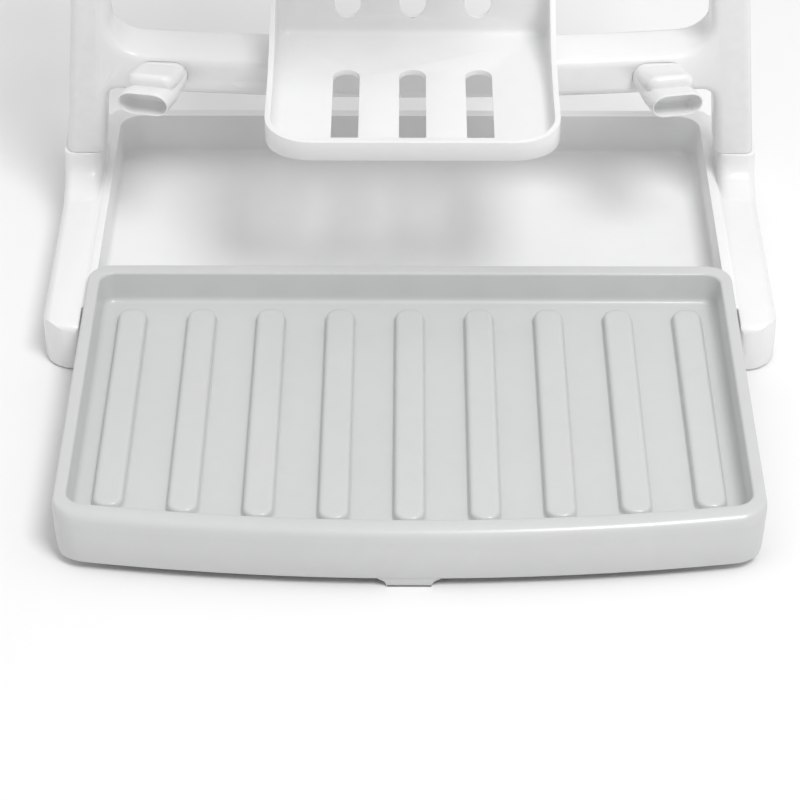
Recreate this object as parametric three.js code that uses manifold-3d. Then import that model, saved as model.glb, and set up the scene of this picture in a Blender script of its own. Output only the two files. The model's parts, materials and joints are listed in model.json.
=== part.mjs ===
// Two-tier bottle drying rack: a low tub with side runners carries an arched
// frame, and a ribbed drip tray slides in and out over the tub's rails.
// Millimetres, +Z up, front towards -Y, table at Z = 0.
import * as THREE from 'three';
import { mergeVertices } from 'three/addons/utils/BufferGeometryUtils.js';
import Module from 'manifold-3d';

const wasm = await Module();
wasm.setup();

// ---------------------------------------------------------------- sizes
// Base tub.
const BASE_HALF_W = 140.2;      // centre line to the runner's outer face
const BASE_FRONT = -80;         // nose of each runner
const BASE_REAR = 75;           // back of the tub
const TABLE_GAP = 1.0;          // underside of the base above the table
const FLOOR_T = 2.0;            // tub floor
const RUNNER_H = 20.5;          // top of each runner
const RUNNER_W = 14.9;          // width of each runner
const RUNNER_EDGE_R = 3.5;      // rounding of the runner's outer edges
const NOSE_R = 12;              // runner's front corner, seen from above
const NOSE_TOP_R = 4;           // runner's front corner, seen from the side
const RAIL_H = 21.0;            // rail that the tray's flange slides on
const RAIL_W = 3.1;             // rail width
const TUB_INNER_REAR = 69.7;    // front face of the tub's back wall
const TUB_FRONT = -67;          // front edge of the tub floor
const TUB_CORNER_R = 9;
const TUB_FILLET_R = 2.2;
const HOLLOW_WALL = 2.3;        // wall left round the hollow under a runner
const HOLLOW_TOP = 17.8;
// Post stub on each runner.
const STUB_TOP = 33;            // where the arch plugs in
const STUB_FLARE_FRONT = 16;    // how far the stub spreads forwards
const STUB_FLARE_REAR = 16;
const SOCKET_FLOOR = 10;
// Arch.
const POST_W = 15.15;           // width of the posts, seen from the front
const POST_D = 20;              // depth of the posts
const ARCH_Y = 32;              // middle plane of the arch
const ARCH_TOP = 365;
const ARCH_R = 62;              // outer radius of the shoulders
const LEAN = 0.0905;            // inward lean of the posts, per mm of height
const ARCH_SPREAD = 1.75;       // a post's outer face past the runner's, carried down to Z = 0
const ARCH_EDGE_R = 3.5;
const SPIGOT_W = 9.4;
const SPIGOT_D = 14;
const SPIGOT_L = 22;
// Crossbars.
const BAR_Z = 60.3;             // underside of the lower crossbar at its middle
const BAR_H_FRONT = 17.1;       // height of its front face
const BAR_H_REAR = 19.7;        // height of its rear face
const BAR_BOW = 4;              // how far its middle bows forwards
const BAR_LIFT = 2.3;           // rise of its underside towards the posts
const BAR_TOP_RISE = 2.6;       // rise of its upper edge towards the posts
const BAR_TOP_FILLET = 12.5;    // front upper corners where it meets a post
const BAR_BOTTOM_FILLET = 5.5;
const BAR_MESH = 9;             // facet length of the bowed bars
const TIER_STEP = 143;          // lower crossbar to upper crossbar
// Bottle pegs.
const PEG_W = 19.7;             // width of a peg's rounded slot section
const PEG_H = 11;
const PEG_FROM_POST = 22.5;     // peg centre to the post's inner face
const PEG_Z = 10.3;             // peg centre above the crossbar's underside
const PEG_PLUG = 10;            // length of the plug inside the crossbar
const SOCKET_SPARE = 1;          // extra depth of a peg's socket
const PEG_YAW = 10.5;            // degrees outwards
const PEG_UPPER_L = 20.5;       // upper lobe
const PEG_UPPER_TOP = 12;       // its top at the nose, above the peg's centre
const PEG_UPPER_LOW = 2.6;
const PEG_LOWER_L = 30.5;       // lower, open lobe
const PEG_LIP_TOP = 10.6;         // lip of the open lobe
const PEG_LIP_LOW = -1.2;
const PEG_WAIST = 21;           // crease between the lobes
const PEG_WAIST_TOP = 5.9;
const PEG_UNDERCUT = 0.25;      // forward lean of the open end
const PEG_LIP = 1.8;            // wall round the open end
const PEG_SCOOP = 13;           // depth of the open end
// Accessory basket.
const BASKET_HALF_W = 55.4;
const BASKET_FRONT = -59.3;
const BASKET_ASIDE = 0.9;       // the lower basket sits a little to one side
const BASKET_FLOOR_T = 2.2;
const BASKET_WALL = 2.1;
const BASKET_RIM_H = 9.7;       // rim above the basket's underside, in front
const BASKET_SIDE_H = 38;       // top of the side walls at the back plate
const BASKET_BACK_H = 70;       // top of the back plate
const BASKET_CORNER_R = 18;
const BASKET_FILLET_R = 4;       // floor to walls, inside
const BASKET_BACK = 0.2;        // front face of the back plate behind the arch's middle plane
const SLOT_W = 10.3;
const SLOT_PITCH = 25.6;
const SLOT_FAR = 5;             // rounded end of the floor slots
const SLOT_NEAR = -44;          // straight end of the floor slots
const PLATE_SLOT_LOW = 9.7;     // above the basket's underside
const PLATE_SLOT_HIGH = 58;
const CLIP_DROP_REAR = 14;
const CLIP_DROP_FRONT = 4.2;
const CLIP_T = 2.2;
// Drip tray.
const TRAY_OUT = 115;           // how far it is pulled out
const TRAY_SIDE_PLAY = 1.0;     // tray flange to the runner's inner face
const TRAY_REAR = 72;           // flange edge when pushed home
const TRAY_FRONT = -88.5;       // middle of the bowed front when pushed home
const TRAY_BOW = 8;
const TRAY_BOW_SIDE = 12.3;     // the bow ends this far inside the tray's side
const TRAY_TOP = 23.5;
const FLANGE_T = 2.2;
const TRAY_FLOOR_TOP = 10.5;
const TRAY_WALL = 1.7;
const TRAY_FLANGE_SIDE = 3.1;   // overhang of the flange at the sides
const TRAY_FLANGE_REAR = 4.1;
const TRAY_RIM_FRONT = 8.9;     // width of the front rim
const TRAY_CORNER_R = 9;
const TRAY_NOSE_R = 11;
const SKIRT_BOTTOM = 3.5;
const SKIRT_T = 2.0;
const SKIRT_EDGE_R = 3.2;
const RIB_COUNT = 9;
const RIB_SIDE = 12.86;         // outermost rib's middle to the tray's side wall
const RIB_W = 10.8;
const RIB_H = 3.5;
const RIB_FROM_REAR = 15.2;     // flange edge to the far ends of the ribs
const RIB_FROM_FRONT = 20.2;    // bowed front to the near ends of the ribs
const TAB_W = 15.6;
const TAB_FILLET = 3;
const TAB_BOTTOM = 0.2;
// Foot pads.
const PAD_R = 4.5;
const PAD_RECESS = 0.9;
// Gap that touching pieces keep.
const GAP = 0.3;

// ---------------------------------------------------------------- derived
const RUNNER_X = BASE_HALF_W - RUNNER_W;
const TUB_HALF = RUNNER_X - 0.7 - RAIL_W;
const STUB_X = BASE_HALF_W - RUNNER_W / 2;
const ARCH_FOOT_X = BASE_HALF_W + ARCH_SPREAD;
const TRAY_HALF_W = RUNNER_X - TRAY_SIDE_PLAY;
const TRAY_BOW_HALF = TRAY_HALF_W - TRAY_BOW_SIDE;
const TRAY_INNER_HALF = TRAY_HALF_W - TRAY_FLANGE_SIDE - TRAY_WALL;
const RIB_PITCH = 2 * (TRAY_INNER_HALF - RIB_SIDE) / (RIB_COUNT - 1);
const BASKET_BACK_Y = ARCH_Y + BASKET_BACK;
const POST_FRONT = ARCH_Y - POST_D / 2;
const POST_REAR = ARCH_Y + POST_D / 2;
const LEAN_COS = 1 / Math.hypot(1, LEAN);
const BASKET_Z = BAR_Z + BAR_H_REAR + GAP;
const PAD_TOP = TABLE_GAP + PAD_RECESS - GAP;

// ---------------------------------------------------------------- helpers
const V = (x, y) => new THREE.Vector2(x, y);

function solid(geometry) {
  const g = geometry.clone();
  for (const name of ['normal', 'uv']) g.deleteAttribute(name);
  const merged = mergeVertices(g, 1e-4);
  return new wasm.Manifold(new wasm.Mesh({
    numProp: 3,
    vertProperties: new Float32Array(merged.attributes.position.array),
    triVerts: new Uint32Array(merged.index.array),
  }));
}

function toGeometry(manifold) {
  const mesh = manifold.getMesh();
  const g = new THREE.BufferGeometry();
  g.setAttribute('position', new THREE.BufferAttribute(new Float32Array(mesh.vertProperties), 3));
  g.setIndex(new THREE.BufferAttribute(new Uint32Array(mesh.triVerts), 1));
  g.computeVertexNormals();
  return g;
}

function extrude(shape, depth, bevel = 0, segments = 3, curveSegments = 6) {
  return new THREE.ExtrudeGeometry(shape, {
    depth: depth - 2 * bevel,
    bevelEnabled: bevel > 0,
    bevelThickness: bevel,
    bevelSize: bevel,
    bevelOffset: -bevel,
    bevelSegments: segments,
    curveSegments,
  }).translate(0, 0, bevel);
}

// A plan shape (x, y) raised from z0 to z1.
function raise(shape, z0, z1, bevel = 0, segments = 3) {
  return solid(extrude(shape, z1 - z0, bevel, segments).translate(0, 0, z0));
}

// A side shape (y, z) carried along X from x0 to x1.
function alongX(shape, x0, x1, bevel = 0, segments = 3) {
  const g = extrude(shape, x1 - x0, bevel, segments);
  const m = new THREE.Matrix4().set(0, 0, 1, x0, 1, 0, 0, 0, 0, 1, 0, 0, 0, 0, 0, 1);
  return solid(g.applyMatrix4(m));
}

// A front shape (x, z) carried along Y from y0 to y1.
function alongY(shape, y0, y1, bevel = 0, segments = 3, curveSegments = 8) {
  const g = extrude(shape, y1 - y0, bevel, segments, curveSegments);
  const m = new THREE.Matrix4().set(1, 0, 0, 0, 0, 0, -1, y1, 0, 1, 0, 0, 0, 0, 0, 1);
  return solid(g.applyMatrix4(m));
}

function box(x0, x1, y0, y1, z0, z1) {
  const g = new THREE.BoxGeometry(x1 - x0, y1 - y0, z1 - z0);
  return solid(g.translate((x0 + x1) / 2, (y0 + y1) / 2, (z0 + z1) / 2));
}

function disc(r, z0, z1, x, y, segments = 18) {
  const g = new THREE.CylinderGeometry(r, r, z1 - z0, segments);
  return solid(g.rotateX(Math.PI / 2).translate(x, y, (z0 + z1) / 2));
}

function mirrorX(manifold) {
  const g = toGeometry(manifold);
  g.scale(-1, 1, 1);
  const index = g.index.array;
  for (let i = 0; i < index.length; i += 3) {
    const keep = index[i];
    index[i] = index[i + 1];
    index[i + 1] = keep;
  }
  return solid(g);
}

function both(manifold) {
  return manifold.add(mirrorX(manifold));
}

// Rounded polygon: each corner is [x, y, radius].
function roundedShape(corners, steps = 6) {
  const points = [];
  const n = corners.length;
  for (let i = 0; i < n; i++) {
    const [x, y, r] = corners[i];
    const here = V(x, y);
    if (!r) {
      points.push(here);
      continue;
    }
    const before = V(...corners[(i + n - 1) % n]).sub(here).normalize();
    const after = V(...corners[(i + 1) % n]).sub(here).normalize();
    const half = Math.acos(THREE.MathUtils.clamp(before.dot(after), -1, 1)) / 2;
    const reach = r / Math.tan(half);
    const a = here.clone().addScaledVector(before, reach);
    const b = here.clone().addScaledVector(after, reach);
    const middle = before.clone().add(after).normalize().multiplyScalar(r / Math.sin(half)).add(here);
    const start = Math.atan2(a.y - middle.y, a.x - middle.x);
    let turn = Math.atan2(b.y - middle.y, b.x - middle.x) - start;
    if (turn > Math.PI) turn -= 2 * Math.PI;
    if (turn < -Math.PI) turn += 2 * Math.PI;
    for (let k = 0; k <= steps; k++) {
      const t = start + turn * k / steps;
      points.push(V(middle.x + r * Math.cos(t), middle.y + r * Math.sin(t)));
    }
  }
  return new THREE.Shape(points);
}

// Slot with round ends, centred on the origin, long side along the first axis.
function stadium(length, height, steps = 7) {
  const r = height / 2;
  const h = length / 2 - r;
  const points = [];
  for (const [cx, from] of [[h, -Math.PI / 2], [-h, Math.PI / 2]]) {
    for (let k = 0; k <= steps; k++) {
      const t = from + Math.PI * k / steps;
      points.push(V(cx + r * Math.cos(t), r * Math.sin(t)));
    }
  }
  return new THREE.Shape(points);
}

// ---------------------------------------------------------------- base tub
function runnerPlan() {
  const x0 = RUNNER_X;
  const x1 = BASE_HALF_W;
  return roundedShape([
    [x0, BASE_FRONT, 2.5], [x1, BASE_FRONT, NOSE_R], [x1, BASE_REAR, 10], [x0, BASE_REAR, 0],
  ]);
}

function runnerProfile(withStub) {
  const low = -8;
  const corners = [[BASE_FRONT, low, 0], [BASE_REAR, low, 0], [BASE_REAR, RUNNER_H, 5]];
  if (withStub) {
    const high = STUB_TOP + 12;
    corners.push([POST_REAR + STUB_FLARE_REAR, RUNNER_H, 8], [POST_REAR + 1.5, STUB_TOP - 8, 9]);
    corners.push([POST_REAR, high, 0], [POST_FRONT, high, 0]);
    corners.push([POST_FRONT - 1.5, STUB_TOP - 8, 9], [POST_FRONT - STUB_FLARE_FRONT, RUNNER_H, 8]);
  }
  corners.push([BASE_FRONT, RUNNER_H, NOSE_TOP_R]);
  return roundedShape(corners, 5);
}

function runner() {
  const soft = alongX(runnerProfile(true), RUNNER_X, BASE_HALF_W, RUNNER_EDGE_R, 3);
  const inner = alongX(runnerProfile(false), RUNNER_X, STUB_X - 1, 0.8, 2);
  const stock = raise(runnerPlan(), TABLE_GAP, STUB_TOP);
  const hollow = box(RUNNER_X + HOLLOW_WALL, BASE_HALF_W - HOLLOW_WALL, TUB_FRONT + 3,
    POST_FRONT - 8, -5, HOLLOW_TOP);
  const socket = box(STUB_X - SPIGOT_W / 2 - GAP, STUB_X + SPIGOT_W / 2 + GAP,
    ARCH_Y - SPIGOT_D / 2 - GAP, ARCH_Y + SPIGOT_D / 2 + GAP, SOCKET_FLOOR, STUB_TOP + 5);
  return soft.add(inner).intersect(stock).subtract(hollow).subtract(socket);
}

function tubPlan(half, rear, cornerR, front) {
  return roundedShape([[-half, front, 0], [half, front, 0], [half, rear, cornerR], [-half, rear, cornerR]], 7);
}

function padSpots() {
  const spots = [];
  for (const side of [-1, 1]) {
    for (const y of [BASE_FRONT + 8, BASE_REAR - 11]) spots.push([side * STUB_X, y]);
  }
  return spots;
}

function baseTub() {
  let body = raise(tubPlan(RUNNER_X + 0.4, BASE_REAR, 4, TUB_FRONT), TABLE_GAP, RUNNER_H);
  const rim = tubPlan(TUB_HALF + RAIL_W, BASE_REAR - 1, TUB_CORNER_R + RAIL_W, TUB_FRONT);
  body = body.add(raise(rim, TABLE_GAP, RAIL_H, 0.5, 2));
  body = body.add(both(runner()));
  const inside = tubPlan(TUB_HALF, TUB_INNER_REAR, TUB_CORNER_R, TUB_FRONT - 20);
  body = body.subtract(raise(inside, TABLE_GAP + FLOOR_T, RAIL_H + 20, TUB_FILLET_R, 3));
  for (const [x, y] of padSpots()) {
    body = body.subtract(disc(PAD_R + GAP, -1, TABLE_GAP + PAD_RECESS, x, y));
  }
  return body;
}

function footPad([x, y]) {
  return disc(PAD_R, 0, PAD_TOP, x, y);
}

// ---------------------------------------------------------------- arch frame
function postOuter(z) {
  return ARCH_FOOT_X - LEAN * z;
}

function postInner(z) {
  return postOuter(z) - POST_W / LEAN_COS;
}

function archSide(inset) {
  const top = ARCH_TOP - inset;
  const r = ARCH_R - inset;
  const face = (z) => postOuter(z) - inset / LEAN_COS;
  const lean = Math.atan(LEAN);
  const reach = r * Math.tan((Math.PI / 2 - lean) / 2);
  const cx = face(top) - reach;
  const cz = top - r;
  const points = [V(face(STUB_TOP - 8), STUB_TOP - 8)];
  const steps = 11;
  for (let k = 0; k <= steps; k++) {
    const t = lean + (Math.PI / 2 - lean) * k / steps;
    points.push(V(cx + r * Math.cos(t), cz + r * Math.sin(t)));
  }
  return points;
}

function mirrored(points) {
  return points.map((p) => V(-p.x, p.y)).reverse();
}

function barBow(x, reach) {
  const t = Math.min(1, Math.abs(x) / reach);
  return BAR_BOW * (1 - t * t);
}

// Front edge of a crossbar's upper or under side, from right to left.
function barEdge(base, upper) {
  const mid = base + BAR_H_FRONT / 2;
  const reach = postInner(mid);
  const last = reach - BAR_TOP_FILLET - 3;
  const steps = 16;
  const points = [];
  for (let k = 0; k <= steps; k++) {
    const x = last * (1 - 2 * k / steps);
    const t = x / reach;
    points.push(upper ? [x, base + BAR_H_FRONT + BAR_TOP_RISE * Math.abs(t) ** 3, 0] : [x, base + BAR_LIFT * t * t, 0]);
  }
  return points;
}

function barCorner(base, upper, side) {
  const z = upper ? base + BAR_H_FRONT + BAR_TOP_RISE : base + BAR_LIFT;
  return [side * postInner(z), z, upper ? BAR_TOP_FILLET : BAR_BOTTOM_FILLET];
}

// The bar's top slopes up to the rear, and the whole bar bows forwards.
function bowBars(v) {
  for (const base of [BAR_Z, BAR_Z + TIER_STEP]) {
    const reach = postInner(base + BAR_H_FRONT / 2);
    const above = v[2] - base - BAR_H_FRONT;
    if (Math.abs(v[0]) > reach || above < -2 * BAR_H_FRONT || above > BAR_TOP_FILLET) continue;
    const fade = 1 - Math.max(above, 0) / BAR_TOP_FILLET;
    const back = (v[1] - POST_FRONT) / POST_D;
    const raised = Math.max(0, 1 + above / (BAR_H_FRONT / 2));
    v[2] += Math.min(raised, 1) * fade * (BAR_H_REAR - BAR_H_FRONT) * back;
    v[1] -= fade * barBow(v[0], reach);
  }
}

// Posts, top and crossbars share one outline: the opening under the lower
// crossbar is open at the foot, the two above it are closed.
function frameOutline() {
  const foot = STUB_TOP - 8;
  const upper = BAR_Z + TIER_STEP;
  const outer = archSide(0);
  const inner = archSide(POST_W).slice(1);
  const under = roundedShape([
    [postInner(foot), foot, 0], barCorner(BAR_Z, false, 1), ...barEdge(BAR_Z, false),
    barCorner(BAR_Z, false, -1), [-postInner(foot), foot, 0],
  ], 5).getPoints();
  const shape = new THREE.Shape([...outer, ...mirrored(outer), ...under.reverse()]);
  shape.holes.push(new THREE.Path(roundedShape([
    ...barEdge(BAR_Z, true), barCorner(BAR_Z, true, -1), barCorner(upper, false, -1),
    ...barEdge(upper, false).reverse(), barCorner(upper, false, 1), barCorner(BAR_Z, true, 1),
  ], 6).getPoints()));
  const bow = [...inner, ...mirrored(inner)].map((v) => [v.x, v.y, 0]);
  shape.holes.push(new THREE.Path(roundedShape([
    ...barEdge(upper, true), barCorner(upper, true, -1), ...bow.reverse(), barCorner(upper, true, 1),
  ], 6).getPoints()));
  return shape;
}

function archBow() {
  const g = extrude(frameOutline(), POST_D, ARCH_EDGE_R, 3);
  g.applyMatrix4(new THREE.Matrix4().set(1, 0, 0, 0, 0, 0, -1, POST_REAR, 0, 1, 0, 0, 0, 0, 0, 1));
  return solid(g).intersect(box(-200, 200, -100, 200, STUB_TOP + GAP, ARCH_TOP + 50));
}

function spigot() {
  const z1 = STUB_TOP + GAP;
  const centre = STUB_X;
  return box(centre - SPIGOT_W / 2, centre + SPIGOT_W / 2, ARCH_Y - SPIGOT_D / 2,
    ARCH_Y + SPIGOT_D / 2, z1 - SPIGOT_L, z1 + 1);
}

function pegPlace(base) {
  const x = postInner(base + BAR_H_FRONT / 2) - PEG_FROM_POST;
  const y = POST_FRONT - barBow(x, postInner(base + BAR_H_FRONT / 2));
  return { x, y, z: base + PEG_Z };
}

// Cut while the crossbar is straight, so it is deeper by what the bow moves it.
function pegSocket(base) {
  const at = pegPlace(base);
  const hole = alongY(stadium(PEG_W + 2 * GAP, PEG_H + 2 * GAP), POST_FRONT - 5,
    POST_FRONT + PEG_PLUG + GAP + SOCKET_SPARE);
  return hole.translate([at.x, 0, at.z]);
}

function archFrame() {
  let body = archBow().add(both(spigot()));
  for (const base of [BAR_Z, BAR_Z + TIER_STEP]) body = body.subtract(both(pegSocket(base)));
  return body.refineToLength(BAR_MESH).warp(bowBars).simplify(0.03);
}

// ---------------------------------------------------------------- bottle pegs
// A lobe of the peg: a slot section carried forwards from f0 to f1, between a
// lower and an upper line, then turned outwards.
function lobe(width, f0, f1, low, high, lean) {
  const g = new THREE.ExtrudeGeometry(stadium(width, PEG_H), {
    depth: f1 - f0, steps: 7, bevelEnabled: false,
  });
  g.translate(0, 0, f0);
  const p = g.attributes.position;
  for (let i = 0; i < p.count; i++) {
    const f = p.getZ(i);
    const k = p.getY(i) / PEG_H;
    const a = low(f);
    const b = high(f);
    p.setY(i, (a + b) / 2 + k * (b - a));
    p.setZ(i, f + lean * k * (b - a) * Math.max(0, (f - f0) / (f1 - f0)));
  }
  g.rotateX(Math.PI / 2);
  g.rotateZ(THREE.MathUtils.degToRad(PEG_YAW));
  return solid(g);
}

function ramp(f, f0, f1, a, b) {
  const t = THREE.MathUtils.clamp((f - f0) / (f1 - f0), 0, 1);
  return a + (b - a) * t;
}

function upperLow(f) {
  return ramp(f, 0, PEG_UPPER_L, -2, PEG_UPPER_LOW);
}

function upperHigh(f) {
  return ramp(f, 0, PEG_UPPER_L, PEG_H / 2 - 0.3, PEG_UPPER_TOP);
}

function lowerLow(f) {
  return ramp(f, 0, PEG_LOWER_L, -PEG_H / 2 + 0.3, PEG_LIP_LOW);
}

function lowerHigh(f) {
  const t = ramp(f, PEG_WAIST - 3, PEG_LOWER_L, 0, 1);
  return PEG_WAIST_TOP + (PEG_LIP_TOP - PEG_WAIST_TOP) * t * (1.4 - 0.4 * t);
}

function pegScoop() {
  const from = PEG_LOWER_L - PEG_SCOOP;
  const low = (f) => lowerLow(f) + PEG_LIP;
  const high = (f) => Math.max(lowerHigh(f) - PEG_LIP, low(f) + 2);
  return lobe(PEG_W - 2 * PEG_LIP, from, PEG_LOWER_L + 8, low, high, PEG_UNDERCUT);
}

function bottlePeg(base, side) {
  const at = pegPlace(base);
  const plug = alongY(stadium(PEG_W, PEG_H), -2, PEG_PLUG);
  const upper = lobe(PEG_W - 0.4, -5, PEG_UPPER_L, upperLow, upperHigh, 0);
  const lower = lobe(PEG_W + 0.6, -5, PEG_LOWER_L, lowerLow, lowerHigh, PEG_UNDERCUT);
  const ahead = box(-60, 60, -90, -0.9, -60, 60);
  let body = upper.add(lower).intersect(ahead).add(plug).subtract(pegScoop());
  body = body.translate([at.x, at.y, at.z]);
  return side < 0 ? mirrorX(body) : body;
}

// ---------------------------------------------------------------- baskets
function basketPlan(inset, rear, rearR) {
  const h = BASKET_HALF_W - inset;
  const r = BASKET_CORNER_R - inset;
  return roundedShape([
    [-h, BASKET_FRONT + inset, r], [h, BASKET_FRONT + inset, r], [h, rear, rearR], [-h, rear, rearR],
  ], 8);
}

function basketSweep() {
  const rear = BASKET_BACK_Y + BASKET_WALL;
  const shape = new THREE.Shape();
  shape.moveTo(BASKET_FRONT - 1, -1);
  shape.lineTo(rear, -1);
  shape.lineTo(rear, BASKET_SIDE_H);
  shape.lineTo(BASKET_BACK_Y, BASKET_SIDE_H);
  shape.bezierCurveTo(BASKET_BACK_Y - 12, BASKET_RIM_H + 10, 0, BASKET_RIM_H, -25, BASKET_RIM_H);
  shape.lineTo(BASKET_FRONT - 1, BASKET_RIM_H);
  return shape;
}

function plateShape() {
  const h = BASKET_HALF_W;
  return roundedShape([[-h, 0, 1], [h, 0, 1], [h, BASKET_BACK_H, 14], [-h, BASKET_BACK_H, 14]], 6);
}

// A tall slot with round ends, open right through the back wall and its plate.
function plateSlot(x) {
  const w = SLOT_W / 2;
  const shape = roundedShape([
    [x - w, PLATE_SLOT_LOW, SLOT_W / 2.01], [x + w, PLATE_SLOT_LOW, SLOT_W / 2.01],
    [x + w, PLATE_SLOT_HIGH, SLOT_W / 2.01], [x - w, PLATE_SLOT_HIGH, SLOT_W / 2.01],
  ], 6);
  return alongY(shape, BASKET_BACK_Y - 1, BASKET_BACK_Y + BASKET_WALL + 1);
}

// Hooks that straddle the crossbar, one under each slot.
function basketClip(x) {
  const bow = barBow(x, postInner(BAR_Z + BAR_H_FRONT / 2));
  const barRear = POST_REAR - bow;
  const barFront = POST_FRONT - bow;
  const w = SLOT_W / 2;
  const rear = box(x - w, x + w, barRear + GAP, barRear + GAP + CLIP_T, -CLIP_DROP_REAR, BASKET_FLOOR_T);
  const bridge = box(x - w, x + w, BASKET_BACK_Y, barRear + GAP + CLIP_T, 0, BASKET_FLOOR_T);
  const front = box(x - w, x + w, barFront - GAP - CLIP_T, barFront - GAP, -CLIP_DROP_FRONT, 1);
  return rear.add(bridge).add(front);
}

function basket(tier) {
  const rear = BASKET_BACK_Y + BASKET_WALL;
  let body = raise(basketPlan(0, rear, 3), 0, BASKET_SIDE_H + 20, 1.0, 2);
  body = body.intersect(alongX(basketSweep(), -BASKET_HALF_W - 1, BASKET_HALF_W + 1));
  const inside = raise(basketPlan(BASKET_WALL, BASKET_BACK_Y, BASKET_FILLET_R + 1), BASKET_FLOOR_T,
    BASKET_SIDE_H + 60, BASKET_FILLET_R, 4);
  body = body.subtract(inside);
  body = body.add(alongY(plateShape(), BASKET_BACK_Y, rear));
  for (const k of [-1, 0, 1]) {
    const x = k * SLOT_PITCH;
    const slot = roundedShape([
      [x - SLOT_W / 2, SLOT_NEAR, 0.5], [x + SLOT_W / 2, SLOT_NEAR, 0.5],
      [x + SLOT_W / 2, SLOT_FAR, SLOT_W / 2.01], [x - SLOT_W / 2, SLOT_FAR, SLOT_W / 2.01],
    ], 6);
    body = body.subtract(raise(slot, -5, BASKET_FLOOR_T + 5)).subtract(plateSlot(x)).add(basketClip(x));
  }
  const aside = tier === 0 ? BASKET_ASIDE : 0;
  return body.translate([aside, 0, BASKET_Z + tier * TIER_STEP]);
}

// ---------------------------------------------------------------- drip tray
// Outline with a bowed front; inset shrinks it on every side.
function trayOutline(half, rear, front, rearR, noseR) {
  const bowHalf = half - noseR;
  const rise = TRAY_BOW * (bowHalf / TRAY_BOW_HALF) ** 2;
  const slope = 2 * rise / bowHalf;
  const cornerY = front + rise;
  const shape = new THREE.Shape();
  shape.moveTo(-bowHalf, cornerY);
  const steps = 12;
  for (let k = 1; k <= steps; k++) {
    const x = -bowHalf + 2 * bowHalf * k / steps;
    shape.lineTo(x, front + rise * (x / bowHalf) ** 2);
  }
  const c = 0.45;
  shape.bezierCurveTo(bowHalf + noseR * (1 - c), cornerY + slope * noseR * (1 - c), half,
    cornerY + noseR * c, half, cornerY + noseR);
  shape.lineTo(half, rear - rearR);
  shape.absarc(half - rearR, rear - rearR, rearR, 0, Math.PI / 2, false);
  shape.lineTo(-half + rearR, rear);
  shape.absarc(-half + rearR, rear - rearR, rearR, Math.PI / 2, Math.PI, false);
  shape.lineTo(-half, cornerY + noseR);
  shape.bezierCurveTo(-half, cornerY + noseR * c, -bowHalf - noseR * (1 - c),
    cornerY + slope * noseR * (1 - c), -bowHalf, cornerY);
  return shape;
}

function trayRib(k) {
  const x = k * RIB_PITCH;
  const far = TRAY_REAR - RIB_FROM_REAR;
  const near = TRAY_FRONT + RIB_FROM_FRONT + TRAY_BOW * (x / TRAY_BOW_HALF) ** 2;
  const w = RIB_W / 2;
  const shape = roundedShape([[x - w, near, w * 0.7], [x + w, near, w * 0.7], [x + w, far, w * 0.7],
    [x - w, far, w * 0.7]], 3);
  const stock = raise(shape, TRAY_FLOOR_TOP - 6, TRAY_FLOOR_TOP + RIB_H, 0.9, 1);
  return stock.intersect(box(-200, 200, -200, 200, TRAY_FLOOR_TOP - 1, 60));
}

function trayTab() {
  const h = TAB_W / 2;
  const f = TAB_FILLET;
  const top = SKIRT_BOTTOM + 1;
  const shape = new THREE.Shape();
  shape.moveTo(-h, TAB_BOTTOM);
  shape.lineTo(h, TAB_BOTTOM);
  shape.quadraticCurveTo(h + 0.4, SKIRT_BOTTOM, h + f, SKIRT_BOTTOM);
  shape.lineTo(h + f, top);
  shape.lineTo(-h - f, top);
  shape.lineTo(-h - f, SKIRT_BOTTOM);
  shape.quadraticCurveTo(-h - 0.4, SKIRT_BOTTOM, -h, TAB_BOTTOM);
  return alongY(shape, TRAY_FRONT + 0.15, TRAY_FRONT + SKIRT_T);
}

function dripTray() {
  const half = TRAY_HALF_W;
  const outer = trayOutline(half, TRAY_REAR, TRAY_FRONT, TRAY_CORNER_R, TRAY_NOSE_R);
  const bodyHalf = half - TRAY_FLANGE_SIDE;
  const bodyRear = TRAY_REAR - TRAY_FLANGE_REAR;
  const innerHalf = TRAY_INNER_HALF;
  const innerRear = bodyRear - TRAY_WALL;
  const innerFront = TRAY_FRONT + TRAY_RIM_FRONT;
  const wallOutline = trayOutline(bodyHalf, bodyRear, innerFront - TRAY_WALL, 6, 7);
  const innerOutline = trayOutline(innerHalf, innerRear, innerFront, 5, 6);
  const skirtInner = trayOutline(half - SKIRT_T, TRAY_REAR, TRAY_FRONT + SKIRT_T, TRAY_CORNER_R,
    TRAY_NOSE_R - SKIRT_T);
  const skirtEnd = TRAY_FRONT + TRAY_BOW + TRAY_NOSE_R;
  const flange = raise(outer, TRAY_TOP - FLANGE_T, TRAY_TOP, 0.9, 2);
  const wall = raise(wallOutline, TRAY_FLOOR_TOP - 2, TRAY_TOP - 1);
  const skirtStock = raise(outer, SKIRT_BOTTOM - 5, TRAY_TOP, SKIRT_EDGE_R, 3);
  const skirtHollow = raise(skirtInner, -5, TRAY_TOP - FLANGE_T);
  const front = box(-200, 200, -200, skirtEnd, SKIRT_BOTTOM, 60);
  const skirt = skirtStock.subtract(skirtHollow).intersect(front).add(trayTab());
  let body = flange.add(wall).add(skirt);
  body = body.subtract(raise(innerOutline, TRAY_FLOOR_TOP, TRAY_TOP + 20, 2.4, 3));
  const first = -(RIB_COUNT - 1) / 2;
  for (let i = 0; i < RIB_COUNT; i++) body = body.add(trayRib(first + i));
  return body.translate([0, -TRAY_OUT, 0]);
}

// ---------------------------------------------------------------- assembly
const WHITE = { color: 0xf0f1f1, roughness: 0.32, metalness: 0 };
const GREY = { color: 0xd6d9d8, roughness: 0.3, metalness: 0 };
const ELASTOMER = { color: 0xb9bcbc, roughness: 0.8, metalness: 0 };

const rack = new THREE.Group();
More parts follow.
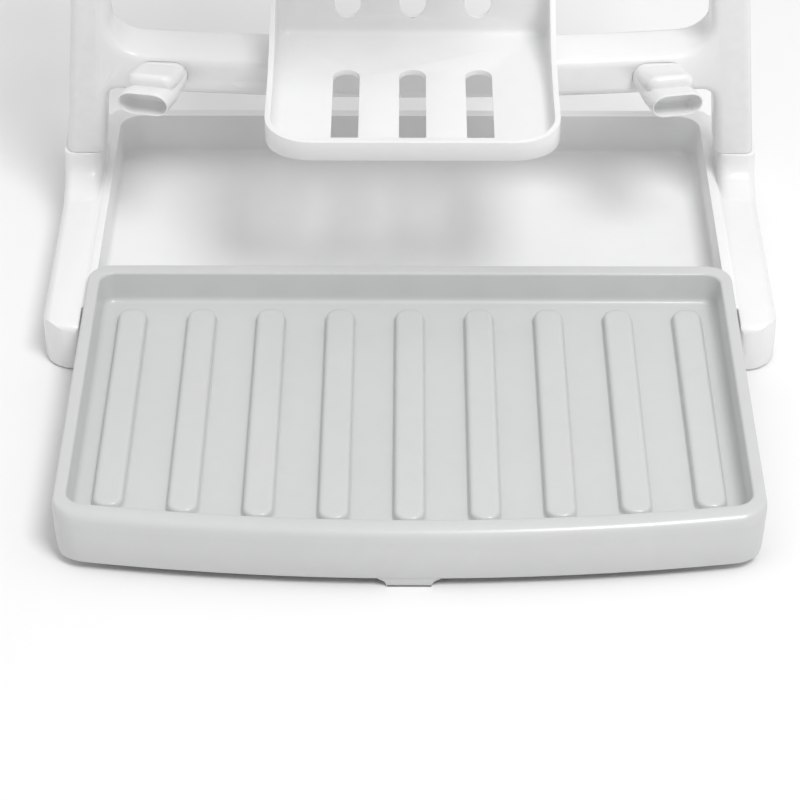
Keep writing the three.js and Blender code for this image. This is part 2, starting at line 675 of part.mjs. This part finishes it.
// The origin sits on the table, under the middle of the whole object's box.
rack.position.y = -(BASE_REAR + TRAY_FRONT - TRAY_OUT) / 2;

function place(name, manifold, look) {
  const mesh = new THREE.Mesh(toGeometry(manifold), new THREE.MeshStandardMaterial(look));
  mesh.name = name;
  rack.add(mesh);
}

place('base_tub', baseTub(), WHITE);
padSpots().forEach((spot, i) => place(`foot_pad_${i + 1}`, footPad(spot), ELASTOMER));
place('drip_tray', dripTray(), GREY);
place('arch_frame', archFrame(), WHITE);
place('peg_lower_left', bottlePeg(BAR_Z, -1), WHITE);
place('peg_lower_right', bottlePeg(BAR_Z, 1), WHITE);
place('peg_upper_left', bottlePeg(BAR_Z + TIER_STEP, -1), WHITE);
place('peg_upper_right', bottlePeg(BAR_Z + TIER_STEP, 1), WHITE);
place('basket_lower', basket(0), WHITE);
place('basket_upper', basket(1), WHITE);

const group = new THREE.Group();
group.add(rack);

export default group;
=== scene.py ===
# %% [markdown]
# # A two-tier bottle drying rack
# The rack is an assembly of plain plastic mouldings: a low tub on two side
# runners, an arch with two crossbars, four bottle pegs, two baskets and a
# drip tray. The measured solids come in first as a fixed frame, and every
# piece made here sits exactly where its solid sits.

# %% Load the measured frame
import json
import math

import bmesh
import bpy
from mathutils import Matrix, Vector

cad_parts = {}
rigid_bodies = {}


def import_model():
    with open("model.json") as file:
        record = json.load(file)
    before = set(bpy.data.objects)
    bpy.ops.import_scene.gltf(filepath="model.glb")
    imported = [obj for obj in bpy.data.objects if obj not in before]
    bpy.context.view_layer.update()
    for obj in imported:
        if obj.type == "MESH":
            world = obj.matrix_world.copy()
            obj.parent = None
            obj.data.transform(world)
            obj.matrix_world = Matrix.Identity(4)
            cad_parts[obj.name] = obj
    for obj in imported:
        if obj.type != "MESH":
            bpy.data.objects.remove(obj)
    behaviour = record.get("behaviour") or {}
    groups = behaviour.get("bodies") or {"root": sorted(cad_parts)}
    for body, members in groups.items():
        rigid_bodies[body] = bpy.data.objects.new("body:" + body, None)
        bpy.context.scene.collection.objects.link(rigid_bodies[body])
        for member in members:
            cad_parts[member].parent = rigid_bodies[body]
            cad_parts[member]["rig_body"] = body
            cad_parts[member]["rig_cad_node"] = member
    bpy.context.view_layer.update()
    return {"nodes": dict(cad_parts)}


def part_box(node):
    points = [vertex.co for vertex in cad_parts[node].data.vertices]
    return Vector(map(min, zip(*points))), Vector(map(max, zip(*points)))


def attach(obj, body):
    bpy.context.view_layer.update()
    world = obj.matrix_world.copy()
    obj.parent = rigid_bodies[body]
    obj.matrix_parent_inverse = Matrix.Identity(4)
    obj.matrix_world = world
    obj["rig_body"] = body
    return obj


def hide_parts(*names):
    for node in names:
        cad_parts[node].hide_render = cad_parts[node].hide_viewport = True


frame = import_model()
MM = 0.001
print("solids:", sorted(frame["nodes"]))

# %% [markdown]
# The camera looks down at the rack from the front. It is made first, because
# every other choice of light and finish is judged through it.

# %% Camera
CAMERA_PLACE = (-0.0006, -0.83705, 0.62757)
CAMERA_TURN = (math.radians(52.0), 0.0, math.radians(0.214))
CAMERA_LENS = 121.44
bpy.ops.object.camera_add(location=CAMERA_PLACE, rotation=CAMERA_TURN)
camera = bpy.context.object
camera.name = "camera"
camera.data.lens = CAMERA_LENS
camera.data.sensor_width = 36.0
camera.data.clip_start = 0.01
bpy.context.scene.camera = camera
print("camera looks down", round(90 - math.degrees(CAMERA_TURN[0]), 1), "degrees")

# %% [markdown]
# A shader is easier to read as sums and products than as a list of links.
# `Wire` wraps one socket, so that `1 - mask` or `a * 0.3 + b` adds its own
# Math nodes, and `Finish.node` adds any other node.

# %% Wires and finishes
class Wire:
    """One socket of a finish, which adds, multiplies and mixes like a number."""

    def __init__(self, finish, socket):
        self.finish, self.socket = finish, socket

    def _math(self, operation, first, second):
        return self.finish.node("ShaderNodeMath", {"operation": operation}, {0: first, 1: second})

    def __add__(self, other):
        return self._math("ADD", self, other)

    def __sub__(self, other):
        return self._math("SUBTRACT", self, other)

    def __rsub__(self, other):
        return self._math("SUBTRACT", other, self)

    def __mul__(self, other):
        return self._math("MULTIPLY", self, other)

    __radd__, __rmul__ = __add__, __mul__


class Finish:
    """A material and the nodes that feed its one Principled shader."""

    def __init__(self, name, constants):
        self.material = bpy.data.materials.new(name)
        self.material.use_nodes = True
        self.tree = self.material.node_tree
        self.shader = next(n for n in self.tree.nodes if n.type == "BSDF_PRINCIPLED")
        for socket, value in constants.items():
            self.shader.inputs[socket].default_value = value
        self.place = self.node("ShaderNodeTexCoord", out="Object")

    def node(self, kind, settings=None, sockets=None, out=0):
        made = self.tree.nodes.new(kind)
        for key, value in (settings or {}).items():
            setattr(made, key, value)
        for key, value in (sockets or {}).items():
            self.feed(made.inputs[key], value)
        return Wire(self, made.outputs[out])

    def feed(self, socket, value):
        if isinstance(value, Wire):
            self.tree.links.new(value.socket, socket)
        else:
            socket.default_value = value

    def set(self, socket, value):
        self.feed(self.shader.inputs[socket], value)


def noise(finish, scale, detail=3.0, roughness=0.55, place=None):
    return finish.node("ShaderNodeTexNoise", {}, {
        "Vector": place or finish.place, "Scale": scale, "Detail": detail, "Roughness": roughness})


def ramp(finish, wire, low, high, bottom=0.0, top=1.0):
    return finish.node("ShaderNodeMapRange", {"clamp": True}, {
        "Value": wire, "From Min": low, "From Max": high, "To Min": bottom, "To Max": top})


def blend_colour(finish, mask, first, second):
    return finish.node("ShaderNodeMix", {"data_type": "RGBA"}, {
        "Factor": mask, "A": (*first, 1.0), "B": (*second, 1.0)}, out="Result")


# %% [markdown]
# Moulded plastic is never one flat tone. The colour drifts a little where the
# wall thickens, the gloss is broken by fine rub marks and water spots, and the
# skin has the faint ripple of the mould. All of it is kept small, because the
# rack is new and clean.

# %% Moulded plastic
def moulded(name, colour, shade, worn, rough, streak_turn):
    finish = Finish(name, {"IOR": 1.48, "Coat Roughness": 0.12})
    cloud = noise(finish, 14.0, 4.0)
    mottle = noise(finish, 160.0, 3.0)
    tone = ramp(finish, cloud * 0.7 + mottle * 0.3, 0.35, 0.65)
    body = blend_colour(finish, tone, shade, colour)
    turned = finish.node("ShaderNodeMapping", {}, {
        "Vector": finish.place, "Rotation": streak_turn, "Scale": (30.0, 900.0, 500.0)})
    rubs = noise(finish, 1.0, 5.0, 0.6, turned)
    rub_mask = ramp(finish, rubs, 0.56, 0.72) * ramp(finish, noise(finish, 26.0), 0.5, 0.62)
    edge = finish.node("ShaderNodeNewGeometry", out="Pointiness")
    edge_mask = ramp(finish, edge, 0.52, 0.62) * ramp(finish, noise(finish, 210.0), 0.4, 0.6)
    spots = finish.node("ShaderNodeTexVoronoi", {"feature": "F1"}, {
        "Vector": finish.place, "Scale": 95.0, "Randomness": 1.0}, out="Distance")
    ring = ramp(finish, spots, 0.10, 0.16) * (1 - ramp(finish, spots, 0.16, 0.22))
    spot_mask = ring * ramp(finish, noise(finish, 9.0), 0.56, 0.66)
    finish.set("Base Color", finish.node("ShaderNodeMix", {"data_type": "RGBA"}, {
        "Factor": edge_mask * 0.5, "A": body, "B": (*worn, 1.0)}, out="Result"))
    finish.set("Roughness", rough + (cloud - 0.5) * 0.10 + rub_mask * 0.14 + spot_mask * 0.08
               + edge_mask * 0.06)
    finish.set("Coat Weight", 0.22 - rub_mask * 0.12)
    ripple = noise(finish, 420.0, 2.0)
    height = ripple * 0.5 + noise(finish, 38.0, 2.0) * 0.8 - rub_mask * 0.15
    finish.set("Normal", finish.node("ShaderNodeBump", {}, {
        "Strength": 0.10, "Distance": 0.0004, "Height": height}))
    print("finish", name, "has", len(finish.tree.nodes), "nodes")
    return finish.material


WHITE_PLASTIC = moulded("white_plastic", (0.885, 0.887, 0.887), (0.86, 0.863, 0.863),
                        (0.91, 0.91, 0.908), 0.34, (0.0, 0.0, 0.4))
GREY_PLASTIC = moulded("grey_plastic", (0.63, 0.64, 0.635), (0.605, 0.615, 0.61),
                       (0.70, 0.71, 0.705), 0.30, (0.0, 0.0, 1.2))

# %% [markdown]
# The foot pads are soft elastomer: duller, greyer and finely grained.

# %% Elastomer
def elastomer(name):
    finish = Finish(name, {"IOR": 1.5, "Specular IOR Level": 0.3})
    grain = noise(finish, 900.0, 3.0)
    dust = ramp(finish, noise(finish, 60.0), 0.45, 0.7)
    finish.set("Base Color", blend_colour(finish, dust, (0.40, 0.41, 0.41), (0.52, 0.53, 0.53)))
    finish.set("Roughness", 0.72 + grain * 0.2)
    finish.set("Normal", finish.node("ShaderNodeBump", {}, {
        "Strength": 0.25, "Distance": 0.0002, "Height": grain}))
    return finish.material


RUBBER = elastomer("elastomer")

# %% [markdown]
# Each solid is a closed shell of loose triangles. A copy is merged into one
# skin, its flat faces are joined, its sharp edges get the small radius that a
# mould leaves, and the copy then stands for the solid.

# %% Helpers for editing
def only(piece):
    bpy.ops.object.select_all(action="DESELECT")
    piece.select_set(True)
    bpy.context.view_layer.objects.active = piece


def settle(piece, node, body, material, smooth=32.0):
    """Gives a finished piece its finish and its body, and hides the solid it stands for."""
    only(piece)
    bpy.ops.object.shade_smooth_by_angle(angle=math.radians(smooth))
    piece.data.materials.clear()
    piece.data.materials.append(material)
    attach(piece, body)
    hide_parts(node)
    print(piece.name, len(piece.data.polygons), "faces")


def merged_copy(node, name, edge=0.0004, segments=2):
    only(frame["nodes"][node])
    bpy.ops.object.duplicate()
    piece = bpy.context.object
    piece.name = piece.data.name = name
    piece.parent = None
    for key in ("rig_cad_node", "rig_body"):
        if key in piece:
            del piece[key]
    bpy.ops.object.mode_set(mode="EDIT")
    bpy.ops.mesh.select_all(action="SELECT")
    bpy.ops.mesh.remove_doubles(threshold=0.00001)
    bpy.ops.mesh.dissolve_limited(angle_limit=math.radians(0.6))
    bpy.ops.object.mode_set(mode="OBJECT")
    if edge:
        rounding = piece.modifiers.new("rounding", "BEVEL")
        rounding.width = edge
        rounding.segments = segments
        rounding.limit_method = "ANGLE"
        rounding.angle_limit = math.radians(40.0)
        rounding.use_clamp_overlap = True
        bpy.ops.object.modifier_apply(modifier="rounding")
    return piece


# %% [markdown]
# The tray is a thin shell that follows a rounded, bowed
# outline. It could be cut from a block, but its soft front edge is easier as a drawn
# section: a circle of vertices is laid on the outline, its edge is extruded again
# and again, and each new ring is laid at its own height and inset.

# %% Extrude a ring along a section
def lay(mesh, ring, points):
    for index, point in zip(ring, points):
        mesh.verts[index].co = Vector(point) * MM


def swept(name, rings):
    bpy.ops.object.select_all(action="DESELECT")
    bpy.ops.mesh.primitive_circle_add(vertices=len(rings[0]), radius=0.1)
    piece = bpy.context.object
    piece.name = piece.data.name = name
    bpy.ops.object.mode_set(mode="EDIT")
    mesh = bmesh.from_edit_mesh(piece.data)
    mesh.verts.ensure_lookup_table()
    first = list(range(len(rings[0])))
    ring = list(first)
    lay(mesh, ring, rings[0])
    bpy.ops.mesh.select_all(action="SELECT")
    for points in rings[1:]:
        bpy.ops.mesh.extrude_edges_move()
        mesh = bmesh.from_edit_mesh(piece.data)
        mesh.verts.index_update()
        mesh.verts.ensure_lookup_table()
        ring = [next(edge.other_vert(mesh.verts[i]).index for edge in mesh.verts[i].link_edges
                     if edge.other_vert(mesh.verts[i]).select) for i in ring]
        lay(mesh, ring, points)
    for loop in (first, ring):
        bpy.ops.mesh.select_all(action="DESELECT")
        mesh = bmesh.from_edit_mesh(piece.data)
        mesh.verts.ensure_lookup_table()
        for index in loop:
            mesh.verts[index].select_set(True)
        mesh.select_flush(True)
        bpy.ops.mesh.edge_face_add()
    bpy.ops.mesh.select_all(action="SELECT")
    bpy.ops.mesh.normals_make_consistent(inside=False)
    bpy.ops.object.mode_set(mode="OBJECT")
    return piece


def copied(piece):
    only(piece)
    bpy.ops.object.duplicate()
    return bpy.context.object


def joined(name, pieces):
    bpy.ops.object.select_all(action="DESELECT")
    for piece in pieces:
        piece.select_set(True)
    bpy.context.view_layer.objects.active = pieces[0]
    bpy.ops.object.join()
    pieces[0].name = pieces[0].data.name = name
    return pieces[0]


# %% The tray's outline
TRAY_LOW, TRAY_HIGH = (Vector(corner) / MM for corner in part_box("drip_tray"))
TRAY_BOW, TRAY_BOW_HALF = 8.0, 112.0
NOSE, CORNER = 11.0, 9.0
BOW_STEPS, NOSE_STEPS, CORNER_STEPS = 48, 10, 8
NEAR_SIDE_STEPS, SIDE_STEPS, REAR_STEPS = 8, 6, 16    # the near steps are 1 mm each


def tray_outline(side, rear, front, corner_r, nose_r):
    """The right half from the middle of the bow round to the back, then its mirror."""
    half, back, ahead = TRAY_HIGH.x - side, TRAY_HIGH.y - rear, TRAY_LOW.y + front
    bow_half = half - nose_r
    rise = TRAY_BOW * (bow_half / TRAY_BOW_HALF) ** 2
    slope = 2 * rise / bow_half
    corner = ahead + rise
    right = [(bow_half * k / (BOW_STEPS // 2), ahead + rise * (2 * k / BOW_STEPS) ** 2)
             for k in range(BOW_STEPS // 2 + 1)]
    a, b = Vector(right[-1]), Vector((bow_half + nose_r * 0.55, corner + slope * nose_r * 0.55))
    c, d = Vector((half, corner + nose_r * 0.45)), Vector((half, corner + nose_r))
    for k in range(1, NOSE_STEPS + 1):
        t = k / NOSE_STEPS
        right.append(tuple(a * (1 - t) ** 3 + b * 3 * t * (1 - t) ** 2
                           + c * 3 * t * t * (1 - t) + d * t ** 3))
    start = corner + nose_r
    right += [(half, start + k) for k in range(1, NEAR_SIDE_STEPS + 1)]
    start, end = start + NEAR_SIDE_STEPS, back - corner_r
    right += [(half, start + (end - start) * k / SIDE_STEPS) for k in range(1, SIDE_STEPS + 1)]
    for k in range(1, CORNER_STEPS + 1):
        turn = math.pi / 2 * k / CORNER_STEPS
        right.append((half - corner_r * (1 - math.cos(turn)), end + corner_r * math.sin(turn)))
    reach = half - corner_r
    right += [(reach * (1 - k / REAR_STEPS), back) for k in range(1, REAR_STEPS + 1)]
    return right + [(-x, y) for x, y in reversed(right[1:-1])]


SKIRT_EASE = 6.0


def skirt_share(y):
    """1 where the front skirt hangs, easing to 0 before the rails of the tub begin."""
    t = min(max((y - TRAY_LOW.y - TRAY_BOW - NOSE + SKIRT_EASE) / SKIRT_EASE, 0.0), 1.0)
    return 1 - t * t * (3 - 2 * t)


def tray_ring(side, rear, front, z_side, z_front, corner_r, nose_r):
    """The outline drawn in by three insets, at one height in front and one at the sides."""
    return [(x, y, z_side + (z_front - z_side) * skirt_share(y))
            for x, y in tray_outline(side, rear, front, corner_r, nose_r)]


print("outline has", len(tray_outline(0, 0, 0, CORNER, NOSE)), "points")

# %% [markdown]
# The section starts under the floor, climbs the outside of the wall, turns out
# under the rim and down the inside of the front skirt, and comes back over the
# skirt's wide, soft edge to the rim, the inner wall and the floor.

# %% The tray's section
RIM_SIDE, RIM_REAR, RIM_FRONT_W, WALL = 4.8, 5.8, 8.9, 1.7
TOP, FLOOR, UNDER_RIM, SKIRT_LOW = TRAY_HIGH.z, 10.5, 21.3, 3.5
SIDE_SHOULDER, SIDE_INSET, SIDE_ROUND = 22.8, 0.06, 0.84
FRONT_SHOULDER, FRONT_INSET, FRONT_ROUND = 18.5, 0.9, 4.6    # the skirt's wide, soft edge
RIM_ROUND, DRAFT, FLOOR_FILLET = 1.0, 0.5, 2.6
out_side, out_rear, out_front = RIM_SIDE - WALL, RIM_REAR - WALL, RIM_FRONT_W - WALL
section = []
for inset, z in ((2.0, FLOOR - 2.0), (0.6, FLOOR - 1.65), (0.0, FLOOR - 0.8), (0.0, UNDER_RIM)):
    section.append(tray_ring(out_side + inset, out_rear + inset, out_front + inset, z, z,
                             6.0 - inset / 2, 7.0 - inset / 2))
for inset, front, z_side, z_front in (
        (1.2, 2.0, UNDER_RIM, UNDER_RIM), (1.0, 1.9, UNDER_RIM, SKIRT_LOW + 0.3),
        (0.9, 1.0, UNDER_RIM, SKIRT_LOW), (0.35, 0.35, 21.5, SKIRT_LOW + 0.2),
        (0.08, 0.1, 22.0, 4.4), (0.0, 0.0, 22.4, 12.0), (0.0, 0.35, 22.6, 15.0),
        (SIDE_INSET, FRONT_INSET, SIDE_SHOULDER, FRONT_SHOULDER)):
    section.append(tray_ring(inset, inset, front, z_side, z_front, CORNER - inset, NOSE - front))
for k in range(1, 7):
    turn = math.pi / 2 * k / 6
    across, up = 1 - math.cos(turn), math.sin(turn)
    side = SIDE_INSET + SIDE_ROUND * across
    section.append(tray_ring(side, side, FRONT_INSET + FRONT_ROUND * across,
                             SIDE_SHOULDER + (TOP - SIDE_SHOULDER) * up,
                             FRONT_SHOULDER + (TOP - FRONT_SHOULDER) * up,
                             CORNER - 0.9 * across, NOSE - 0.9 - 3.0 * across))
for k in range(4):
    turn = math.pi / 2 * k / 3
    inset, z = RIM_ROUND * (1 - math.sin(turn)), TOP - RIM_ROUND * (1 - math.cos(turn))
    section.append(tray_ring(RIM_SIDE - inset, RIM_REAR - inset, RIM_FRONT_W - inset, z, z,
                             5.5 + inset, 6.5 + inset / 2))
for k in range(6):
    turn = math.pi / 2 * k / 5
    inset = DRAFT + FLOOR_FILLET * (1 - math.cos(turn))
    z = FLOOR + FLOOR_FILLET * (1 - math.sin(turn))
    section.append(tray_ring(RIM_SIDE + inset, RIM_REAR + inset, RIM_FRONT_W + inset, z, z,
                             5.2 - inset * 0.8, 6.2 - inset * 0.8))
tray = swept("drip_tray_skin", section)
print("tray shell has", len(tray.data.polygons), "faces")

# %% [markdown]
# Nine equal ribs stand on the floor. One is modelled, with a flared foot and a
# rounded top, and copied; each copy's near end then follows the bow.

# %% Ribs
RIBS, RIB_PITCH, RIB_HALF, RIB_CORNER = 9, 26.66, 5.4, 4.7
RIB_FAR, RIB_NEAR = TRAY_HIGH.y - 15.2, TRAY_LOW.y + 20.2
# How far the rib's outline is grown, and the height over the floor, foot first.
RIB_SECTION = ((0.9, -0.3), (0.7, 0.05), (0.35, 0.25), (0.12, 0.6), (0.05, 1.2), (0.0, 2.1),
               (-0.25, 2.85), (-0.75, 3.3), (-1.5, 3.48), (-2.4, 3.5))


def rib_ring(grown, z):
    points = []
    half, r = RIB_HALF + grown, RIB_CORNER + grown
    for x, y, start in ((1, 1, 0.0), (-1, 1, 0.5), (-1, -1, 1.0), (1, -1, 1.5)):
        middle_y = RIB_FAR + grown - r if y > 0 else RIB_NEAR - grown + r
        for k in range(9):
            turn = math.pi * (start + k / 16)
            points.append((x * (half - r) + r * math.cos(turn),
                           middle_y + r * math.sin(turn), FLOOR + z))
    return points


rib = swept("rib", [rib_ring(grown, z) for grown, z in RIB_SECTION])
ribs = [rib] + [copied(rib) for _ in range(RIBS - 1)]
for number, each in enumerate(ribs):
    x = (number - (RIBS - 1) / 2) * RIB_PITCH
    for vert in each.data.vertices:
        vert.co.x += x * MM
        if vert.co.y < 0.5 * (RIB_FAR + RIB_NEAR) * MM:
            vert.co.y += TRAY_BOW * (x / TRAY_BOW_HALF) ** 2 * MM
print(len(ribs), "ribs,", len(rib.data.polygons), "faces each")

# %% [markdown]
# A small tab hangs at the middle of the skirt and nearly touches the table, so
# that the drawn-out tray cannot tip. Its sides flare into the skirt.

# %% Tab
TAB_HALF, TAB_FLARE, TAB_LOW = 7.8, 3.0, 0.2
tab_side = [(TAB_HALF, TAB_LOW), (TAB_HALF + 0.25, 1.3), (TAB_HALF + 0.9, 2.5),
            (TAB_HALF + TAB_FLARE, 3.6), (TAB_HALF + TAB_FLARE, 5.2)]
tab_face = tab_side + [(-x, z) for x, z in reversed(tab_side)]
TAB_SECTION = ((0.55, 0.02), (0.2, 0.004), (0.2, 0.0), (1.7, 0.0), (1.95, 0.01))
tab = swept("tab", [[(x * (1 - pull), TRAY_LOW.y + y, z) for x, z in tab_face]
                    for y, pull in TAB_SECTION])
tray = joined("drip_tray_skin", [tray, *ribs, tab])
settle(tray, "drip_tray", "tray", GREY_PLASTIC)

# %% [markdown]
# A bottle peg is a plug with two lobes: a closed nose above, whose front falls
# back to a waist, and below it an open scoop with a thin wall. Both are swept
# forwards from the crossbar as rings of one slot shape, and the scoop's rings
# simply turn back at the lip and run down its inside.

# %% Peg rings
PEG_W, PEG_H, PEG_PLUG = 19.7, 11.0, 10.0
PEG_YAW = math.radians(10.5)


def between(f, start, end, a, b):
    t = min(max((f - start) / (end - start), 0.0), 1.0)
    return a + (b - a) * t


def peg_ring(f, low, high, width, forward=0.0, yaw=PEG_YAW):
    """One slot-shaped ring, its top leaning ahead of its foot by `forward`."""
    r, points = (high - low) / 2, []
    reach = max(width / 2 - r, 0.1)
    for side, start in ((1, -0.5), (-1, 0.5)):
        for k in range(17):
            turn = math.pi * (start + k / 16)
            x, z = side * reach + r * math.cos(turn), (low + high) / 2 + r * math.sin(turn)
            ahead = f - forward * (high - z) / (2 * r)
            points.append((x * math.cos(yaw) + ahead * math.sin(yaw),
                           x * math.sin(yaw) - ahead * math.cos(yaw), z))
    return points


def upper_line(f):
    return between(f, 0, 20.5, -2.0, 2.6), between(f, 0, 20.5, 5.2, 12.0)


def lower_line(f):
    t = between(f, 18.0, 30.5, 0.0, 1.0)
    return between(f, 0, 30.5, -5.2, -1.2), 5.9 + 4.7 * t * (1.4 - 0.4 * t)


# %% One peg, right-hand
PLUG_SECTION = ((-PEG_PLUG, 0.8), (-PEG_PLUG + 0.8, 0.0), (0.0, 0.0), (1.4, 0.3))
plug = swept("plug", [peg_ring(f, -PEG_H / 2 + cut, PEG_H / 2 - cut, PEG_W - 2 * cut, yaw=0.0)
                      for f, cut in PLUG_SECTION])
NOSE_ROUND, NOSE_TIP, UNDERCUT = 3.0, 20.9, 3.6
rings = [peg_ring(f, *upper_line(f), PEG_W - 0.4, UNDERCUT * between(f, 6, 17.5, 0, 1))
         for f in (1.0, 4.0, 8.0, 12.0, 15.0, NOSE_TIP - NOSE_ROUND)]
for k in range(1, 7):
    turn = math.pi / 2 * k / 6
    cut, f = NOSE_ROUND * (1 - math.cos(turn)), NOSE_TIP - NOSE_ROUND * (1 - math.sin(turn))
    low, high = upper_line(f)
    rings.append(peg_ring(f, low + cut * 0.1, high - cut, PEG_W - 0.4 - 1.3 * cut,
                          UNDERCUT - 0.5 * cut))
nose = swept("nose", rings)
LIP, LEAN_OUT = 0.8, 2.9


def scoop_ring(f, cut):
    """A scoop ring that leans about its own middle, drawn in by `cut`."""
    low, high = lower_line(f)
    lean = LEAN_OUT * between(f, 12, 30.5, 0, 1)
    return peg_ring(f + lean / 2, low + cut, high - cut, PEG_W + 0.6 - 2 * cut, lean)


rings = [scoop_ring(f, 0.0) for f in (1.0, 6.0, 12.0, 18.0, 21.0, 24.0, 27.0, 29.9)]
for f, cut in ((30.4, 0.15), (30.5, LIP / 2), (30.4, LIP - 0.15), (29.6, LIP), (27.6, LIP + 0.2),
               (25.8, LIP + 0.5), (24.6, LIP + 1.0), (23.8, LIP + 1.8), (23.4, LIP + 2.8)):
    rings.append(scoop_ring(f, cut))
scoop = swept("scoop", rings)
peg = joined("peg", [plug, nose, scoop])
print("one peg has", len(peg.data.polygons), "faces")

# %% [markdown]
# Each solid peg gives the place of its plug, and a left-hand peg is the
# right-hand one mirrored, with its normals put right afterwards.

# %% Four pegs
for tier in ("lower", "upper"):
    for side, hand in (("left", -1), ("right", 1)):
        node = f"peg_{tier}_{side}"
        low, high = (Vector(corner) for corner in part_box(node))
        inner = low.x if hand > 0 else -high.x
        at = Vector((inner + PEG_W / 2 * MM, high.y - PEG_PLUG * MM, low.z + PEG_H / 2 * MM))
        each = copied(peg)
        each.name = each.data.name = node + "_skin"
        for vert in each.data.vertices:
            vert.co = vert.co + at
            vert.co.x *= hand
        only(each)
        bpy.ops.object.mode_set(mode="EDIT")
        bpy.ops.mesh.select_all(action="SELECT")
        bpy.ops.mesh.normals_make_consistent(inside=False)
        bpy.ops.object.mode_set(mode="OBJECT")
        settle(each, node, "arch", WHITE_PLASTIC)
only(peg)
bpy.ops.object.delete()

# %% [markdown]
# A moulded basket leans in towards its underside so that it leaves the mould.
# Only its low front wall does so here. The edge under that wall is drawn back,
# less and less round the corners, because the tall side walls share one flat
# face with the back plate and would buckle it.

# %% Lean the basket's front wall
DRAWN_IN, CORNER_REACH, EDGE_LEVEL = 0.0022, 0.018, 0.002


def lean_front(piece, node):
    low, _ = (Vector(corner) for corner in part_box(node))
    underside = min(v.co.z for v in piece.data.vertices if v.co.y < low.y + CORNER_REACH)
    only(piece)
    bpy.ops.object.mode_set(mode="EDIT")
    mesh = bmesh.from_edit_mesh(piece.data)
    moved = 0
    for vert in mesh.verts:
        share = 1 - (vert.co.y - low.y) / CORNER_REACH
        if abs(vert.co.z - underside) < EDGE_LEVEL and share > 0:
            vert.co.y += DRAWN_IN * share * share
            moved += 1
    bmesh.update_edit_mesh(piece.data)
    bpy.ops.object.mode_set(mode="OBJECT")
    print(piece.name, "has", moved, "points drawn in")


# %% Carry every solid over
PLAIN = {"base_tub": ("base", "white", WHITE_PLASTIC),
         "arch_frame": ("arch", "white", WHITE_PLASTIC),
         "basket_lower": ("lower_basket", "white", WHITE_PLASTIC),
         "basket_upper": ("upper_basket", "white", WHITE_PLASTIC)}
for number in range(1, 5):
    PLAIN[f"foot_pad_{number}"] = ("base", "pad", RUBBER)
for node, (body, slot, material) in PLAIN.items():
    skin = merged_copy(node, node + "_skin")
    if node.startswith("basket"):
        lean_front(skin, node)
    settle(skin, node, body, material)

# %% [markdown]
# The rack stands on a plain white sheet under one large soft light, high and
# to the front right. The room's own light comes mostly from overhead, so faces
# that look sideways stay darker than the tops and every form is read.

# %% Floor and light
bpy.ops.mesh.primitive_plane_add(size=40.0, location=(0.0, 0.0, 0.0))
floor = bpy.context.object
floor.name = "floor"
paper = Finish("floor_paper", {"Specular IOR Level": 0.1})
paper.set("Base Color", blend_colour(paper, noise(paper, 3.0), (0.89, 0.89, 0.89),
                                     (0.91, 0.91, 0.91)))
paper.set("Roughness", 0.85 + noise(paper, 40.0) * 0.1)
floor.data.materials.append(paper.material)

KEY_FROM = Vector((0.31, -0.47, 1.0)).normalized()
bpy.ops.object.light_add(type="AREA", location=KEY_FROM * 2.0)
key = bpy.context.object
key.name = "key_light"
key.data.shape = "DISK"
key.data.size = 0.75
key.data.energy = 19.5
key.rotation_euler = KEY_FROM.to_track_quat("Z", "Y").to_euler()

world = bpy.data.worlds.new("studio")
bpy.context.scene.world = world
world.use_nodes = True
sky = next(n for n in world.node_tree.nodes if n.type == "BACKGROUND")
sky.inputs["Color"].default_value = (1.0, 1.0, 1.0, 1.0)
SKY_BASE, SKY_OVERHEAD, SKY_BEHIND, SKY_LEAST = 0.29, 0.58, 0.08, 0.05
nodes, links = world.node_tree.nodes, world.node_tree.links
way = nodes.new("ShaderNodeTexCoord")
lift = nodes.new("ShaderNodeVectorMath")
lift.operation = "DOT_PRODUCT"
lift.inputs[1].default_value = (0.0, SKY_BEHIND, SKY_OVERHEAD)
links.new(way.outputs["Generated"], lift.inputs[0])
raised = nodes.new("ShaderNodeMath")
raised.inputs[1].default_value = SKY_BASE
links.new(lift.outputs["Value"], raised.inputs[0])
least = nodes.new("ShaderNodeMath")
least.operation = "MAXIMUM"
least.inputs[1].default_value = SKY_LEAST
links.new(raised.outputs[0], least.inputs[0])
links.new(least.outputs[0], sky.inputs["Strength"])
bpy.context.scene.view_settings.view_transform = "Standard"
print("key light from", [round(c, 2) for c in KEY_FROM])
